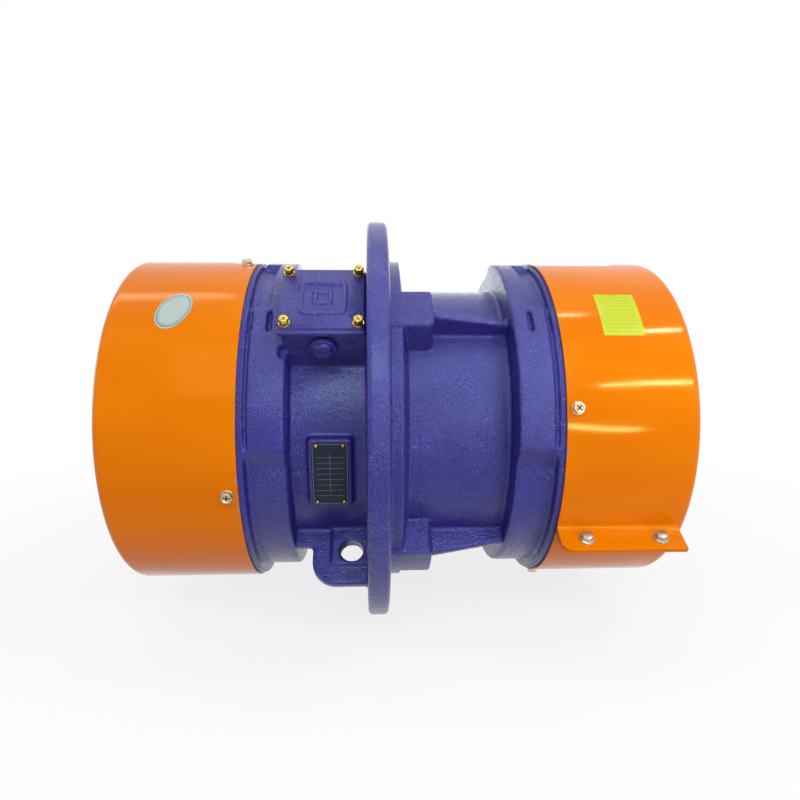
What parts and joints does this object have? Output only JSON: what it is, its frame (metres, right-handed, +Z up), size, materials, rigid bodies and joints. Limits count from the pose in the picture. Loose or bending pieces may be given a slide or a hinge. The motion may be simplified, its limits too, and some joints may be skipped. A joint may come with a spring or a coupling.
{
  "type": "vibration motor",
  "caption": "Flange-mounted vibration motor with eccentric weights under a sheet cover at each end of its shaft.",
  "frame": {"origin": "centre of the mounting flange's bolting face, on the shaft axis", "axes": "+X along the shaft, from the bolting face into the machine's plate; +Z up as the motor lies in the picture, with the terminal box up and to the front (-Y, +Z)"},
  "size_m": [0.5476, 0.437, 0.437],
  "materials": {
    "blue_cast_paint": "gloss enamel over a sand-cast skin",
    "orange_sheet_paint": "gloss enamel on rolled sheet",
    "yellow_zinc": "yellow passivated zinc plate",
    "bright_zinc": "pale zinc plate",
    "rubber": "matt",
    "nameplate": "dark printed ground",
    "rivet_brass": "satin",
    "moulded_board": "moulded",
    "terminal_brass": "bright",
    "cast_iron": "machined and bare",
    "bearing_steel": "ground",
    "cage_brass": "machined",
    "core_steel": "stacked laminations",
    "copper_winding": "varnished",
    "shaft_steel": "turned and ground",
    "end_ring_aluminium": "die-cast",
    "weight_steel": "flame-cut and oiled"
  },
  "bodies": {
    "frame": {"bearing_cap_screws": "bright_zinc", "cable_entry_plug": "blue_cast_paint", "cable_entry_seal": "rubber", "cover_screws": "yellow_zinc", "cover_washers": "yellow_zinc", "left_bearing_outer_ring": "bearing_steel", "left_end_shield": "cast_iron", "left_inner_bearing_cap": "cast_iron", "left_outer_bearing_cap": "cast_iron", "left_weight_cover": "orange_sheet_paint", "left_winding": "copper_winding", "lid_screws": "yellow_zinc", "lid_spring_washers": "yellow_zinc", "lid_washers": "yellow_zinc", "motor_frame": "blue_cast_paint", "nameplate": "nameplate", "nameplate_rivets": "rivet_brass", "right_bearing_outer_ring": "bearing_steel", "right_end_shield": "cast_iron", "right_inner_bearing_cap": "cast_iron", "right_outer_bearing_cap": "cast_iron", "right_weight_cover": "orange_sheet_paint", "right_winding": "copper_winding", "seam_bolts": "bright_zinc", "seam_nuts": "bright_zinc", "seam_washers": "bright_zinc", "shield_bolts": "bright_zinc", "stator_core": "core_steel", "terminal_board": "moulded_board", "terminal_gasket": "rubber", "terminal_lid": "blue_cast_paint", "terminal_links": "terminal_brass", "terminal_nuts": "terminal_brass", "terminal_studs": "terminal_brass"},
    "rotor": {"shaft": "shaft_steel", "rotor_core": "core_steel", "left_rotor_end_ring": "end_ring_aluminium", "right_rotor_end_ring": "end_ring_aluminium", "left_bearing_inner_ring": "bearing_steel", "right_bearing_inner_ring": "bearing_steel", "left_fixed_weight": "weight_steel", "right_fixed_weight": "weight_steel", "left_fixed_weight_clamp": "bright_zinc", "right_fixed_weight_clamp": "bright_zinc", "left_fixed_weight_key": "shaft_steel", "right_fixed_weight_key": "shaft_steel", "left_shaft_end_plate": "bright_zinc", "right_shaft_end_plate": "bright_zinc", "left_shaft_end_bolt": "bright_zinc", "right_shaft_end_bolt": "bright_zinc"},
    "left_roller_set": {"left_bearing_cage": "cage_brass", "left_bearing_rollers": "bearing_steel"},
    "left_adjustable_weight": {"left_adjustable_weight": "weight_steel", "left_adjustable_weight_clamp": "bright_zinc"},
    "right_roller_set": {"right_bearing_cage": "cage_brass", "right_bearing_rollers": "bearing_steel"},
    "right_adjustable_weight": {"right_adjustable_weight": "weight_steel", "right_adjustable_weight_clamp": "bright_zinc"}
  },
  "joints": [
    {"name": "rotor_spin", "type": "hinge", "parent": "frame", "child": "rotor", "pos_m": [0.011, 0, 0], "axis": [1, 0, 0], "continuous": true},
    {"name": "left_rollers_turn", "type": "hinge", "parent": "frame", "child": "left_roller_set", "pos_m": [-0.1615, 0, 0], "axis": [1, 0, 0], "continuous": true},
    {"name": "right_rollers_turn", "type": "hinge", "parent": "frame", "child": "right_roller_set", "pos_m": [0.1835, 0, 0], "axis": [1, 0, 0], "continuous": true},
    {"name": "left_weight_angle", "type": "hinge", "parent": "rotor", "child": "left_adjustable_weight", "pos_m": [-0.2318, 0, 0], "axis": [1, 0, 0], "range_deg": [0, 180]},
    {"name": "right_weight_angle", "type": "hinge", "parent": "rotor", "child": "right_adjustable_weight", "pos_m": [0.2538, 0, 0], "axis": [1, 0, 0], "range_deg": [0, 180]}
  ],
  "couplings": [
    {"joint": "left_rollers_turn", "follows": "rotor_spin", "ratio": 0.40686},
    {"joint": "right_rollers_turn", "follows": "rotor_spin", "ratio": 0.40686}
  ]
}
